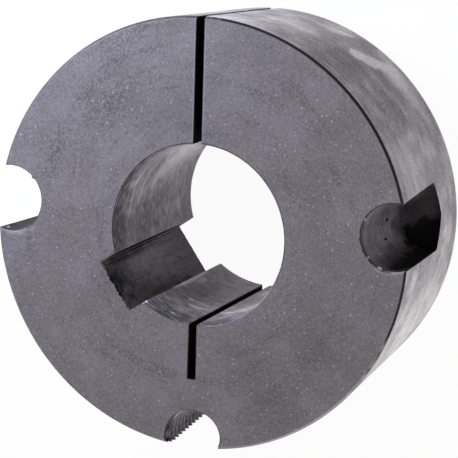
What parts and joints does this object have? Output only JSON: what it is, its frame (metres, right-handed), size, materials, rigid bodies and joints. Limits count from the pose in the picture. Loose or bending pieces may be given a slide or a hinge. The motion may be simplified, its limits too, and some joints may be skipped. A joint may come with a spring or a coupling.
{
  "type": "taper bush",
  "caption": "Split taper bush: a cast iron ring with a keyed shaft bore and a tapered outer seat, drawn into a hub by set screws in half-holes round its rim.",
  "frame": {"origin": "on the axis of the shaft bore, in the plane of the small end, on which the bush stands", "axes": "+Z along the bore from the small end to the large end, +Y towards the saw cut that splits the ring, +X towards one of the two plain half-holes"},
  "size_m": [0.1078, 0.1077, 0.0508],
  "materials": {
    "cast_iron": "dark phosphated, satin, machined"
  },
  "bodies": {
    "root": {"bush": "cast_iron"}
  },
  "joints": []
}
